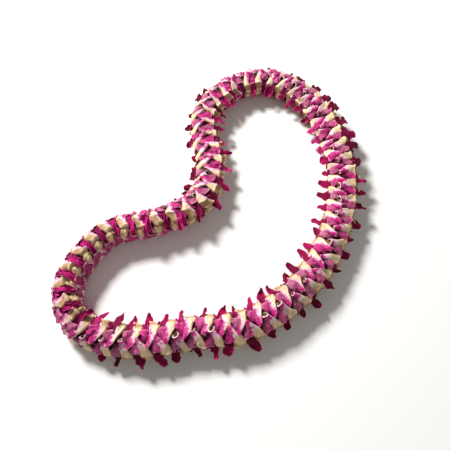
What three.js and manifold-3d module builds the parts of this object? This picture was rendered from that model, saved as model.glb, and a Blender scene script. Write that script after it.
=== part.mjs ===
// A fresh orchid lei laid down in a closed pear-shaped loop: folded blooms strung in opposite
// pairs on one thread. Millimetres, +Z up, with the table at z = 0.
import * as THREE from 'three';
import { mergeVertices } from 'three/addons/utils/BufferGeometryUtils.js';
import Module from 'manifold-3d';

const wasm = await Module();
wasm.setup();

// Route of the thread seen from above, clockwise: x, y, and how far the blooms are rolled round
// it there, in degrees
const route = [
  [-147, -99, 95],
  [-116, -48, 82],
  [-62, -32, 60],
  [-20, -8, 24],
  [-8, 36, 12],
  [-17, 97, 14],
  [9, 142, 18],
  [59, 158, 12],
  [104, 131, -4],
  [130, 84, -42],
  [138, 31, -20],
  [130, -22, -8],
  [108, -72, 4],
  [74, -113, 8],
  [28, -141, 12],
  [-25, -149, 12],
  [-81, -156, 16],
  [-132, -140, 54],
];
const curveTension = 0.5;
const lengthSteps = 1800;
const threadHeight = 14.8;
const pairCount = 57;

// Thread
const threadRadius = 0.8;
const threadSides = 3;
const knotRadius = 1.6;
const knotHalfLength = 1.5;

// Heart of a pair: the bloom tubes that the thread runs through
const heartRadius = 6.6;
const heartSides = 3;
const boreRadius = 2.3;
const endGap = 0.15;
const grownHeartGap = 0.02;

// Points closer than this are one point; edges and faces of a cut solid are larger than these
const pointTolerance = 0.001;
const leastEdge = 0.05;
const leastHeight = 0.01;

// Clearance that a pair's petals leave to the next pair
const petalClearance = 0.45;

// A bloom's body, ring by ring round the thread: the angle from the front seam over its back to
// the seam below. Along the thread from its shoulder lie the rolled petal, half as wide as
// halfWidth, and the edge of the skirt petal beside it. Radii are measured from the thread.
const shoulderAlong = 2.6;
const backAngle = 104;
const bodyRings = [
  { angle: -12, along: 6.6, halfWidth: 2.7, middle: 12.2, top: 15.1, bottom: 9.2 },
  { angle: 20, along: 4.6, halfWidth: 3.8, middle: 11.9, top: 15.2, bottom: 9.2, edge: 11.8, edgeRadius: 13.2 },
  { angle: 50, along: 2.4, halfWidth: 4.7, middle: 11.7, top: 15, bottom: 8.8, edge: 13.8, edgeRadius: 14.1 },
  { angle: 77, along: 0, halfWidth: 5.2, middle: 11, top: 14.6, bottom: 8.8, edge: 12.4, edgeRadius: 15 },
  { angle: 98, along: 1.8, halfWidth: 4.4, middle: 10.2, top: 18, bottom: 3.2, peaked: true },
  { angle: 144, along: 2, halfWidth: 4.7, middle: 11.4, top: 15, bottom: 7, edge: 13.2, edgeRadius: 14.2 },
  { angle: 192, along: 6.6, halfWidth: 2.7, middle: 12.2, top: 15.1, bottom: 9.8 },
];
const skirtThickness = 0.9;
const foldHeight = 0.5;
const mouthTurn = 18;
const mouthSlip = 0.6;

// The dark sepal between two shoulders, from its root out to its tip
const sepalThickness = 1.4;
const sepalSteps = [
  { along: 2.2, radius: 10.6, halfWidth: 1.3 },
  { along: 7.8, radius: 17.2, halfWidth: 3.7 },
  { along: 5.6, radius: 25, halfWidth: 2.9 },
];
const sepalSection = [[1, 0.4], [-1, 0.4], [0, -0.6]];
const sepalBendShare = 0.6;
const sepalGrowth = 2.4;

// It lies down on the rope by degrees, as the upward part of where it points passes these
const sepalLaidFrom = 0.6;
const sepalLaidBy = 0.95;
const sepalLaidRadius = 15.8;
const sepalLaidTurn = 62;

// What differs from bloom to bloom, each from and to: shares of the size, millimetres, degrees
const bodyWidthShare = [0.93, 1.02];
const skirtFlare = [-0.6, 0.6];
const peakRise = [-0.6, 0.6];
const sepalWidthShare = [0.7, 1.2];
const sepalLengthShare = [0.86, 1.04];
const sepalLean = [0, 3.5];
const sepalTwist = [-25, 25];
const bloomStep = 12.9898;
const traitStep = 78.233;
const waveHeight = 43758.5453;

const up = new THREE.Vector3(0, 0, 1);
const curve = new THREE.CatmullRomCurve3(
  route.map(([x, y]) => new THREE.Vector3(x, y, threadHeight)), true, 'catmullrom', curveTension);
curve.arcLengthDivisions = lengthSteps;
const loopLength = curve.getLength();
const pitch = loopLength / pairCount;

// A value within a range that depends only on the bloom and on what is varied
function vary(bloom, trait, [from, to]) {
  const wave = Math.sin(bloom * bloomStep + trait * traitStep) * waveHeight;
  return THREE.MathUtils.lerp(from, to, wave - Math.floor(wave));
}

// The thread's place, directions and roll at a distance along the loop
function ropeFrame(distance) {
  const share = THREE.MathUtils.euclideanModulo(distance / loopLength, 1);
  const origin = curve.getPointAt(share);
  const forward = curve.getTangentAt(share);
  const left = new THREE.Vector3().crossVectors(up, forward);
  const turn = curve.getUtoTmapping(share) * route.length;
  const index = Math.floor(turn) % route.length;
  const nextRoll = route[(index + 1) % route.length][2];
  const roll = THREE.MathUtils.lerp(route[index][2], nextRoll, turn - Math.floor(turn));
  return { origin, forward, left, roll: THREE.MathUtils.degToRad(roll) };
}

// A point near the thread: the angle is 0 on top and grows towards the left of travel
function place(frame, along, angle, radius, around = 0) {
  const turned = THREE.MathUtils.degToRad(angle) + frame.roll;
  const sine = Math.sin(turned);
  const cosine = Math.cos(turned);
  return frame.origin.clone()
    .addScaledVector(frame.forward, along)
    .addScaledVector(frame.left, radius * sine + around * cosine)
    .addScaledVector(up, radius * cosine - around * sine);
}

// A closed solid through rings of equal size; its ends are flat, meet in an apex, or join up
function loft(rings, { looped = false, startApex = null, endApex = null } = {}) {
  const size = rings[0].length;
  const points = rings.flat();
  const faces = [];
  const steps = looped ? rings.length : rings.length - 1;
  for (let step = 0; step < steps; step++) {
    const here = step * size;
    const next = ((step + 1) % rings.length) * size;
    for (let side = 0; side < size; side++) {
      const other = (side + 1) % size;
      if (side < size / 2) {
        faces.push([here + side, here + other, next + other], [here + side, next + other, next + side]);
      } else {
        faces.push([here + side, here + other, next + side], [here + other, next + other, next + side]);
      }
    }
  }
  const last = (rings.length - 1) * size;
  if (!looped) {
    closeEnd(points, faces, 0, size, startApex, true);
    closeEnd(points, faces, last, size, endApex, false);
  }
  return closedSolid(points, faces);
}

// The faces over one end ring: flat, or drawn to an apex
function closeEnd(points, faces, first, size, apex, atStart) {
  const end = [];
  if (apex) {
    const tip = points.push(apex) - 1;
    for (let side = 0; side < size; side++) end.push([first + side, first + ((side + 1) % size), tip]);
  } else {
    for (let side = 1; side < size - 1; side++) end.push([first, first + side, first + side + 1]);
  }
  faces.push(...end.map(([a, b, c]) => (atStart ? [a, c, b] : [a, b, c])));
}

// Six times the volume between the faces and the origin, negative where they point inward
function signedVolume(points, faces) {
  return faces.reduce((sum, [a, b, c]) =>
    sum + points[a].dot(new THREE.Vector3().crossVectors(points[b], points[c])), 0);
}

function closedSolid(points, faces) {
  const outward = signedVolume(points, faces) > 0;
  const vertProperties = new Float32Array(points.flatMap((point) => point.toArray()));
  const triVerts = new Uint32Array(faces.flatMap(([a, b, c]) => (outward ? [a, b, c] : [a, c, b])));
  return new wasm.Manifold(new wasm.Mesh({ numProp: 3, vertProperties, triVerts }));
}

function solidFromGeometry(geometry) {
  geometry.deleteAttribute('normal');
  geometry.deleteAttribute('uv');
  const merged = mergeVertices(geometry, pointTolerance);
  const vertProperties = new Float32Array(merged.attributes.position.array);
  const triVerts = new Uint32Array(merged.index.array);
  return new wasm.Manifold(new wasm.Mesh({ numProp: 3, vertProperties, triVerts }));
}

function geometryFromSolid(solid) {
  const mesh = solid.getMesh();
  const geometry = new THREE.BufferGeometry();
  geometry.setAttribute('position', new THREE.BufferAttribute(mesh.vertProperties, 3));
  geometry.setIndex(new THREE.BufferAttribute(mesh.triVerts, 1));
  geometry.computeVertexNormals();
  return geometry;
}

// A regular ring round the thread
function threadRing(distance, radius, sides) {
  const frame = ropeFrame(distance);
  return Array.from({ length: sides }, (_, side) => place(frame, 0, (side * 360) / sides, radius));
}

// The heart of a pair, bored for the thread, or when it is grown a plain bar that stops just
// short of the heart before it
function heart(start, grow) {
  const from = grow > 0 ? start - endGap + grownHeartGap : start + endGap;
  const to = start + pitch - endGap;
  const outside = [from, to].map((distance) => threadRing(distance, heartRadius + grow, heartSides));
  if (grow > 0) return loft(outside);
  const bore = [to, from].map((distance) => threadRing(distance, boreRadius, heartSides));
  return loft([...outside, ...bore], { looped: true });
}

// A bloom's body: two petals rolled into creased tubes that wrap round the rope to open mouths,
// the skirt petals beside them, and the peak and chin on the back between them
function bloomBody(bloom, grow) {
  const slim = vary(bloom.id, 1, bodyWidthShare);
  const flare = vary(bloom.id, 2, skirtFlare);
  const peak = vary(bloom.id, 3, peakRise);
  const half = skirtThickness / 2 + grow;
  const lastIndex = bodyRings.length - 1;
  const rings = bodyRings.map((ring, index) => {
    const endTurn = THREE.MathUtils.radToDeg(grow / ring.middle);
    const angle = ring.angle + (index === lastIndex ? endTurn : 0) - (index === 0 ? endTurn : 0);
    const width = ring.halfWidth * slim;
    const skirt = ring.edge ?? ring.along + width + skirtThickness / 2;
    const skirtRadius = ring.edge ? ring.edgeRadius + flare : ring.middle;
    const top = ring.top + (ring.peaked ? peak : 0);
    const section = [
      [ring.along, top + grow],
      [ring.along + width + grow, ring.middle + foldHeight + grow],
      [skirt + grow, skirtRadius + half],
      [skirt + grow, skirtRadius - half],
      [ring.along, ring.bottom - grow],
      [ring.along - width - grow, ring.middle],
    ];
    return section.map(([along, radius]) =>
      place(ropeFrame(bloom.start + along), 0, bloom.side * angle, radius));
  });
  if (grow > 0) return loft(rings);
  const [front, back] = [bodyRings[0], bodyRings[lastIndex]].map((ring, end) =>
    place(ropeFrame(bloom.start + ring.along - mouthSlip), 0,
      bloom.side * (ring.angle + (end === 0 ? mouthTurn : -mouthTurn)), ring.middle));
  return loft(rings, { startApex: front, endApex: back });
}

// How far out a sepal may reach where the rope bends towards it
function bendReach(distance, angle) {
  const before = ropeFrame(distance - pitch / 2);
  const after = ropeFrame(distance + pitch / 2);
  const bend = new THREE.Vector3().crossVectors(before.forward, after.forward).z / pitch;
  const towards = bend * Math.sin(THREE.MathUtils.degToRad(angle) + before.roll);
  return towards > 0 ? sepalBendShare / towards : Infinity;
}

// The dark sepal that stands out sideways, or lies down on the rope where that is up or down
function dorsalSepal(bloom, grow) {
  const backTurn = bloom.side * backAngle;
  const frame = ropeFrame(bloom.start + sepalSteps[1].along);
  const facing = THREE.MathUtils.degToRad(backTurn) + frame.roll;
  const laid = THREE.MathUtils.smoothstep(Math.abs(Math.cos(facing)), sepalLaidFrom, sepalLaidBy);
  const sideways = Math.sign(Math.sin(facing) * Math.cos(facing)) || 1;
  const slim = vary(bloom.id, 4, sepalWidthShare);
  const long = vary(bloom.id, 5, sepalLengthShare);
  const lean = vary(bloom.id, 6, sepalLean);
  const twist = THREE.MathUtils.degToRad(vary(bloom.id, 7, sepalTwist));
  const thick = sepalThickness + sepalGrowth * grow;
  const lastIndex = sepalSteps.length - 1;
  const tip = Math.min(sepalSteps[lastIndex].radius * long, bendReach(bloom.start, backTurn));
  const path = sepalSteps.map((step, index) => {
    const share = index / lastIndex;
    const tipGrow = index === lastIndex ? grow : 0;
    const standing = Math.min(step.radius, tip) + tipGrow;
    const laidTurn = sepalLaidTurn * share + THREE.MathUtils.radToDeg(2 * tipGrow / sepalLaidRadius);
    return {
      along: step.along - sepalSteps[1].along - lean * share,
      radius: index === 0 ? step.radius : THREE.MathUtils.lerp(standing, sepalLaidRadius, laid),
      angle: backTurn + sideways * laid * laidTurn,
      width: step.halfWidth * slim + grow,
      turn: twist * share,
    };
  });
  const rings = path.map(({ along, radius, angle, width, turn }, index) => {
    const before = path[Math.max(index - 1, 0)];
    const after = path[Math.min(index + 1, lastIndex)];
    const rise = (after.radius - before.radius) * (1 - laid);
    const run = after.along - before.along;
    const slope = Math.hypot(rise, run) || 1;
    // Across the sepal, and through it: round the rope where it stands, outward where it is laid
    const across = [
      laid === 1 ? 1 : (rise / slope) * Math.cos(turn),
      (-run / slope) * (1 - laid) * Math.cos(turn),
      Math.sin(turn),
    ];
    const through = [-Math.sin(turn) * (1 - laid), laid, Math.cos(turn) * (1 - laid)];
    return sepalSection.map(([side, face]) => {
      const [shift, lift, swing] = across.map((part, axis) =>
        side * width * part + face * thick * through[axis]);
      return place(frame, along + shift, angle, radius + lift, swing);
    });
  });
  return loft(rings);
}

// One pair: an outer bloom and, half a pitch on, an inner one, fused to their heart
function bloomPair(index, grow) {
  const start = index * pitch;
  const outer = { id: 2 * index, side: 1, start: start + shoulderAlong };
  const inner = { id: 2 * index + 1, side: -1, start: start + shoulderAlong + pitch / 2 };
  return [outer, inner].reduce((joined, bloom) =>
    joined.add(bloomBody(bloom, grow)).add(dorsalSepal(bloom, grow)), heart(start, grow));
}

// The main body of a cut solid, with points that nearly meet merged and loose scraps dropped
function largestBody(solid) {
  const bodies = solidFromGeometry(geometryFromSolid(solid)).decompose();
  return bodies.reduce((best, body) => (body.volume() > best.volume() ? body : best));
}

// A face turned so that its longest edge comes first
function longestFirst(points, face) {
  const lengths = face.map((corner, side) => points[corner].distanceTo(points[face[(side + 1) % 3]]));
  const first = lengths.indexOf(Math.max(...lengths));
  return face.map((_, side) => face[(first + side) % 3]);
}

// How far a face's last corner lies from its first edge
function faceHeight(points, [a, b, c]) {
  const edge = points[b].clone().sub(points[a]);
  return points[c].clone().sub(points[a]).cross(edge).length() / edge.length();
}

// A cut solid with its faces tidied: an edge under the least is shrunk to its lower end, and a
// face thinner than the least is swapped with the one beyond its longest edge
function tidySolid(solid) {
  const { vertProperties, triVerts } = solid.getMesh();
  const points = Array.from({ length: vertProperties.length / 3 }, (_, index) =>
    new THREE.Vector3().fromArray(vertProperties, 3 * index));
  const allFaces = Array.from({ length: triVerts.length / 3 }, (_, index) =>
    [...triVerts.slice(3 * index, 3 * index + 3)]);
  const standsFor = points.map((_, index) => index);
  allFaces.forEach((face) => face.forEach((corner, side) => {
    const ends = [standsFor[corner], standsFor[face[(side + 1) % 3]]];
    const [low, high] = ends.sort((a, b) => points[a].z - points[b].z);
    if (low === high || points[low].distanceTo(points[high]) > leastEdge) return;
    standsFor.forEach((stand, index) => {
      if (stand === high) standsFor[index] = low;
    });
  }));
  const faces = allFaces.map((face) => face.map((corner) => standsFor[corner]))
    .filter((face) => new Set(face).size === 3);
  faces.forEach((face, index) => {
    const [a, b, c] = longestFirst(points, faces[index]);
    if (faceHeight(points, [a, b, c]) > leastHeight) return;
    const beyond = faces.findIndex((other) =>
      other.some((corner, side) => corner === b && other[(side + 1) % 3] === a));
    const d = faces[beyond].find((corner) => corner !== a && corner !== b);
    if (faces.some((other) => other.includes(c) && other.includes(d))) return;
    faces[index] = [a, d, c];
    faces[beyond] = [d, b, c];
  });
  return closedSolid(points, faces);
}

// The closed thread, with a ring between every two pairs and its knot where the loop starts
function thread() {
  const stations = [
    [0, knotRadius],
    [knotHalfLength, threadRadius],
    ...Array.from({ length: pairCount - 1 }, (_, index) => [(index + 1) * pitch, threadRadius]),
    [loopLength - knotHalfLength, threadRadius],
  ];
  const rings = stations.map(([distance, radius]) => threadRing(distance, radius, threadSides));
  return loft(rings, { looped: true });
}

const petalMaterial = new THREE.MeshStandardMaterial({ color: 0xd98bb4, roughness: 0.6, metalness: 0 });
const threadMaterial = new THREE.MeshStandardMaterial({ color: 0xf2efe4, roughness: 0.8, metalness: 0 });

const group = new THREE.Group();

function addMesh(name, solid, material) {
  const mesh = new THREE.Mesh(geometryFromSolid(solid), material);
  mesh.name = name;
  group.add(mesh);
}

const tableSize = 600;
const table = solidFromGeometry(new THREE.BoxGeometry(tableSize, tableSize, tableSize)
  .translate(0, 0, -tableSize / 2));
const grownPairs = Array.from({ length: pairCount }, (_, index) => bloomPair(index, petalClearance));
for (let index = 0; index < pairCount; index++) {
  const pair = bloomPair(index, 0)
    .subtract(grownPairs[(index + 1) % pairCount])
    .subtract(grownPairs[(index + 2) % pairCount])
    .subtract(table);
  const name = `bloom_pair_${String(index + 1).padStart(2, '0')}`;
  addMesh(name, tidySolid(largestBody(pair)), petalMaterial);
}
addMesh('thread', thread(), threadMaterial);

export default group;
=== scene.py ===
# Fresh orchid lei: folded blooms strung in pairs on a cotton thread, laid down in a loop
import math

import bmesh
import bpy
import numpy as np
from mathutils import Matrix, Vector


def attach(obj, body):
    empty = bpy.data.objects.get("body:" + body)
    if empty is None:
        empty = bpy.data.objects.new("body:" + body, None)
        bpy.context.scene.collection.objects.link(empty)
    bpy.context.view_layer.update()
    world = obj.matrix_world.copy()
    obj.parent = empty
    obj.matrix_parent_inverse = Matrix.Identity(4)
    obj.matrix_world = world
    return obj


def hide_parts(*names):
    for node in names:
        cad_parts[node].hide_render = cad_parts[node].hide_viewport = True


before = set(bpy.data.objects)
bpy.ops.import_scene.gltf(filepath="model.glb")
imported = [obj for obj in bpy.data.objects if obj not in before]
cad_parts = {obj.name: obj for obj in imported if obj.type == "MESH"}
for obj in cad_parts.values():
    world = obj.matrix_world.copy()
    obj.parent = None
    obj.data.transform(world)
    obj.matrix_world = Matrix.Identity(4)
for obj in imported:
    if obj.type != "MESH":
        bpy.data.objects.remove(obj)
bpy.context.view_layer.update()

mm = 0.001

# The loop, as in the part's source: x and y in mm and how far the blooms are rolled there
loop = {
    'route': [
        (-147, -99, 95), (-116, -48, 82), (-62, -32, 60), (-20, -8, 24), (-8, 36, 12),
        (-17, 97, 14), (9, 142, 18), (59, 158, 12), (104, 131, -4), (130, 84, -42),
        (138, 31, -20), (130, -22, -8), (108, -72, 4), (74, -113, 8), (28, -141, 12),
        (-25, -149, 12), (-81, -156, 16), (-132, -140, 54),
    ],
    'tension': 0.5,
    'lengthSteps': 1800,
    'threadHeight': 14.8,  # mm
    'pairCount': 57,
    'shoulderAlong': 2.6,  # mm from the start of a pair to its first bloom
    'waves': (12.9898, 78.233, 43758.5453),  # what every draw is made from
}

up = np.array([0.0, 0.0, 1.0])
routePlaces = np.array([(x, y, loop['threadHeight']) for x, y, roll in loop['route']]) * mm
routeRolls = np.radians([roll for x, y, roll in loop['route']])
routeCount = len(routePlaces)


def onCurve(turn):
    index = np.floor(turn).astype(int)
    share = (turn - index)[:, None]
    before, here, after, beyond = (routePlaces[(index + step) % routeCount] for step in (-1, 0, 1, 2))
    leave = loop['tension'] * (after - before)
    arrive = loop['tension'] * (beyond - here)
    second = 3 * (after - here) - 2 * leave - arrive
    third = 2 * (here - after) + leave + arrive
    place = here + share * (leave + share * (second + share * third))
    heading = leave + share * (2 * second + 3 * share * third)
    return place, heading / np.linalg.norm(heading, axis=1, keepdims=True)


curveTurns = np.linspace(0, routeCount, loop['lengthSteps'] + 1)
curveSteps = np.linalg.norm(np.diff(onCurve(curveTurns)[0], axis=0), axis=1)
curveLengths = np.concatenate([[0], np.cumsum(curveSteps)])
loopLength = curveLengths[-1]
pitch = loopLength / loop['pairCount']


# The thread's places, directions and roll at some distances along the loop
def alongThread(distance):
    turn = np.interp(np.asarray(distance) % loopLength, curveLengths, curveTurns)
    place, forward = onCurve(turn)
    left = np.stack([-forward[:, 1], forward[:, 0], np.zeros(len(turn))], axis=1)
    index = np.floor(turn).astype(int)
    here, after = routeRolls[index % routeCount], routeRolls[(index + 1) % routeCount]
    return place, forward, left, here + (after - here) * (turn - index)


# The number of each trait in the draws
traits = {
    'slide': 1, 'swell': 2, 'turn': 3, 'widthShare': 4, 'lengthShare': 5, 'lean': 6, 'twist': 7,
    'frillWaves': 8, 'frillPhase': 9, 'flip': 10, 'phase1': 11, 'phase2': 12, 'phase3': 13, 'phase4': 14,
    'phase5': 15, 'sway': 16, 'droop': 17, 'waverPhase': 18, 'tone': 20, 'mouth': 21, 'flush': 22,
    'taper': 23, 'valley': 24,
}
anyShare, anyPhase = (0, 1), (0, 6.3)


# A draw inside a span, the same each run for one trait of one bloom
def vary(bloom, trait, span):
    bloomWave, traitWave, height = loop['waves']
    wave = math.sin(bloom * bloomWave + traits[trait] * traitWave) * height
    return span[0] + (span[1] - span[0]) * (wave - math.floor(wave))


# Colours are written as a screen shows them, 0 to 255, and turned into amounts of light
def paint(red, green, blue):
    return tuple(((part / 255 + 0.055) / 1.055) ** 2.4 if part > 10 else part / 255 / 12.92
                 for part in (red, green, blue)) + (1,)


# Helpers for the materials
def addNode(tree, kind, inputs=None, **settings):
    node = tree.nodes.new(kind)
    for name, value in settings.items():
        setattr(node, name, value)
    for name, value in (inputs or {}).items():
        socket = node.inputs[name]
        if isinstance(value, bpy.types.NodeSocket):
            tree.links.new(value, socket)
        else:
            socket.default_value = value
    return node


def compute(tree, operation, *values, clamp=False):
    return addNode(tree, 'ShaderNodeMath', dict(enumerate(values)), operation=operation,
                   use_clamp=clamp).outputs[0]


def ramp(tree, value, low, high):
    node = addNode(tree, 'ShaderNodeMapRange', {'Value': value, 'From Min': low, 'From Max': high},
                   interpolation_type='SMOOTHSTEP')
    return node.outputs['Result']


def mixColour(tree, share, low, high, blend='MIX'):
    node = addNode(tree, 'ShaderNodeMix', {0: share, 6: low, 7: high}, data_type='RGBA', blend_type=blend)
    return node.outputs[2]


def noiseAt(tree, where, settings):
    return addNode(tree, 'ShaderNodeTexNoise', {'Vector': where, **settings}).outputs[0]


def readAttribute(tree, name):
    return addNode(tree, 'ShaderNodeAttribute', attribute_name=name).outputs['Fac']


def newMaterial(name):
    material = bpy.data.materials.new(name)
    material.use_nodes = True
    return material, material.node_tree.nodes['Principled BSDF']


# A group whose inputs and outputs are all plain numbers
def newGroup(name, inputs, outputs):
    group = bpy.data.node_groups.new(name, 'ShaderNodeTree')
    for label, value in inputs.items():
        socket = group.interface.new_socket(label, in_out='INPUT', socket_type='NodeSocketFloat')
        socket.default_value = value
    for label in outputs:
        group.interface.new_socket(label, in_out='OUTPUT', socket_type='NodeSocketFloat')
    return group, group.nodes.new('NodeGroupInput').outputs, group.nodes.new('NodeGroupOutput').inputs


veinPattern = {
    'wander': {'Scale': 2.6, 'Detail': 2.0, 'Roughness': 0.5},
    'wanderBy': 0.5,
    'fan': (-0.35, 1.2),  # the veins open out from the root
    'lineStep': 1.57,
    'lineWidth': 0.45,
    'patches': (0.3, 0.7),
    'cells': {'Scale': 1100.0, 'Detail': 2.0, 'Roughness': 0.55},
    'crumples': {'Scale': 300.0, 'Detail': 3.0, 'Roughness': 0.55, 'Distortion': 0.5},
}


# Fine veins that run along a petal, its fleshy cells and its soft crumples
def makeVeinGroup(pattern):
    group, given, result = newGroup('petalVeins', {'Across': 0.0, 'Length': 0.0, 'Bloom': 0.0, 'Lines': 9.0},
                                    ['Vein', 'Cells', 'Crumple'])
    where = addNode(group, 'ShaderNodeCombineXYZ',
                    {'X': given['Across'], 'Y': given['Length'], 'Z': given['Bloom']}).outputs[0]
    wander = noiseAt(group, where, pattern['wander'])
    moved = compute(group, 'MULTIPLY_ADD', wander, pattern['wanderBy'], given['Across'])
    spread = compute(group, 'MULTIPLY_ADD', given['Length'], *pattern['fan'])
    steps = compute(group, 'MULTIPLY', given['Lines'], pattern['lineStep'])
    lines = compute(group, 'MULTIPLY', compute(group, 'MULTIPLY', moved, spread), steps)
    wave = compute(group, 'ABSOLUTE', compute(group, 'SINE', lines))
    vein = compute(group, 'MULTIPLY', ramp(group, wave, pattern['lineWidth'], 0.0),
                   ramp(group, wander, *pattern['patches']))
    group.links.new(vein, result['Vein'])
    place = addNode(group, 'ShaderNodeTexCoord').outputs['Object']
    group.links.new(noiseAt(group, place, pattern['cells']), result['Cells'])
    group.links.new(noiseAt(group, place, pattern['crumples']), result['Crumple'])
    return group


blushPattern = {'noise': {'Scale': 260.0, 'Detail': 3.0, 'Roughness': 0.6}, 'gain': 4.0}


# How far the colour has run down a petal, with a slanted and uneven front
def makeBlushGroup(pattern):
    group, given, result = newGroup('petalBlush', {
        'Across': 0.0, 'Length': 0.0, 'Start': 0.6, 'Softness': 0.2, 'Slant': 0.0, 'Unevenness': 0.12,
    }, ['Mask'])
    place = addNode(group, 'ShaderNodeTexCoord').outputs['Object']
    patches = compute(group, 'SUBTRACT', noiseAt(group, place, pattern['noise']), 0.5)
    gain = compute(group, 'MULTIPLY', given['Unevenness'], pattern['gain'])
    uneven = compute(group, 'ADD', given['Length'], compute(group, 'MULTIPLY', patches, gain))
    reach = compute(group, 'ADD', uneven, compute(group, 'MULTIPLY', given['Across'], given['Slant']))
    edge = compute(group, 'DIVIDE', compute(group, 'SUBTRACT', reach, given['Start']), given['Softness'])
    group.links.new(ramp(group, edge, 0.0, 1.0), result['Mask'])
    return group


veinGroup = makeVeinGroup(veinPattern)
blushGroup = makeBlushGroup(blushPattern)

# What all petals share, where a look of their own doesn't say otherwise
petalLook = {
    'lightRun': (0.0022, 0.0008, 0.001),  # how far red, green and blue light run inside, in metres
    'glow': 0.15, 'sheen': 0.0, 'sheenRoughness': 0.4, 'shine': 0.3, 'roughSpan': 0.25, 'roughBelow': 0.12,
    'veinShift': 37.0, 'veinLines': 13.0, 'veinDepth': 0.4, 'grain': 0.14, 'mottle': 0.5,
    # colour and strength of the painted shade low among the petals, near the thread
    'paintedDepthShade': paint(92, 34, 50), 'paintedShadeStrength': 0.8,
    'crumple': 0.9, 'veinRelief': -0.09, 'cellRelief': 0.14, 'reliefDepth': 0.001, 'bump': 0.8,
}


def blushMask(tree, across, length, **values):
    return addNode(tree, 'ShaderNodeGroup', {'Across': across, 'Length': length, **values},
                   node_tree=blushGroup).outputs['Mask']


# A value that differs between the outer and the inner row of blooms
def byRow(tree, row, pair):
    return compute(tree, 'MULTIPLY_ADD', row, pair[1] - pair[0], pair[0])


# A petal material: its own colours, then veins, grain, mottling, painted shade between the petals, and the
# relief
def makeSkin(name, colours, look):
    look = {**petalLook, **look}
    material, shader = newMaterial(name)
    tree = material.node_tree
    settings = {
        'Roughness': look['roughness'],
        'Subsurface Weight': look['glow'],
        'Subsurface Radius': look['lightRun'],
        'Specular IOR Level': look['shine'],
        'Sheen Weight': look['sheen'],
        'Sheen Roughness': look['sheenRoughness'],
    }
    for label, value in settings.items():
        shader.inputs[label].default_value = value
    uv = addNode(tree, 'ShaderNodeUVMap', uv_map='petal')
    split = addNode(tree, 'ShaderNodeSeparateXYZ', {'Vector': uv.outputs[0]})
    across, length = compute(tree, 'MULTIPLY_ADD', split.outputs['X'], 2.0, -1.0), split.outputs['Y']
    tone, row = (readAttribute(tree, label) for label in ('tone', 'row'))
    colour = colours(tree, across, length, tone, row, look)

    def aroundOne(value, span):
        return compute(tree, 'MULTIPLY_ADD', value, span, 1 - span / 2)

    veins = addNode(tree, 'ShaderNodeGroup', {
        'Across': across, 'Length': length, 'Bloom': compute(tree, 'MULTIPLY', tone, look['veinShift']),
        'Lines': look['veinLines'],
    }, node_tree=veinGroup).outputs
    strength = compute(tree, 'MULTIPLY', veins['Vein'], look['veinDepth'])
    colour = mixColour(tree, strength, colour, look['veinPaint'], 'MULTIPLY')
    mottled = compute(tree, 'MULTIPLY', aroundOne(veins['Cells'], look['grain']),
                      aroundOne(veins['Crumple'], look['mottle']))
    lift = compute(tree, 'MULTIPLY', mottled, aroundOne(tone, look['toneSpan']))
    shade = addNode(tree, 'ShaderNodeCombineXYZ', {'X': lift, 'Y': lift, 'Z': lift}).outputs[0]
    colour = mixColour(tree, 1.0, colour, shade, 'MULTIPLY')
    # Painted shade: the colour is darkened towards a dark wine where a point lies low among the petals, near
    # the thread
    paintedDepthShade = compute(tree, 'MULTIPLY', readAttribute(tree, 'paintedDepthShade'), look['paintedShadeStrength'])
    colour = mixColour(tree, paintedDepthShade, colour, look['paintedDepthShade'], 'MULTIPLY')
    tree.links.new(colour, shader.inputs['Base Color'])
    cells = compute(tree, 'MULTIPLY', veins['Cells'], look['cellRelief'])
    fine = compute(tree, 'MULTIPLY_ADD', veins['Vein'], look['veinRelief'], cells)
    height = compute(tree, 'MULTIPLY_ADD', veins['Crumple'], look['crumple'], fine)
    bump = addNode(tree, 'ShaderNodeBump', {
        'Strength': look['bump'], 'Distance': look['reliefDepth'], 'Height': height})
    tree.links.new(bump.outputs[0], shader.inputs['Normal'])
    rough = compute(tree, 'MULTIPLY_ADD', veins['Cells'], look['roughSpan'],
                    look['roughness'] - look['roughBelow'])
    tree.links.new(rough, shader.inputs['Roughness'])
    return material


rolledLook = {
    'cream': paint(232, 204, 162), 'shadedCream': paint(124, 76, 46), 'tanFacetAndShade': paint(186, 144, 102),
    'blush': paint(246, 206, 216), 'mauve': paint(210, 108, 158), 'magenta': paint(184, 24, 114),
    'rim': paint(244, 220, 212), 'rimShare': (0.8, 0.3),
    'root': {'Start': 0.0, 'Softness': 0.12, 'Unevenness': 0.02},
    'facetSpan': (0.12, 0.16, 0.25, 0.29),
    # where each colour starts along the petal, in the outer and in the inner row
    'starts': {'blush': (0.46, 0.36), 'mauve': (0.63, 0.5), 'magenta': (0.77, 0.65)},
    'fronts': {'blush': {}, 'mauve': {'Unevenness': 0.2}, 'magenta': {'Softness': 0.16, 'Unevenness': 0.3}},
    'slant': (0.14, 0.4),
    'rimFront': {'Start': 0.955, 'Softness': 0.02, 'Unevenness': 0.01},
    'roughness': 0.52, 'glow': 0.2, 'sheen': 0.04, 'veinDepth': 0.1, 'veinPaint': paint(222, 170, 156),
    'toneSpan': 0.26, 'bump': 0.55,
}


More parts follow.
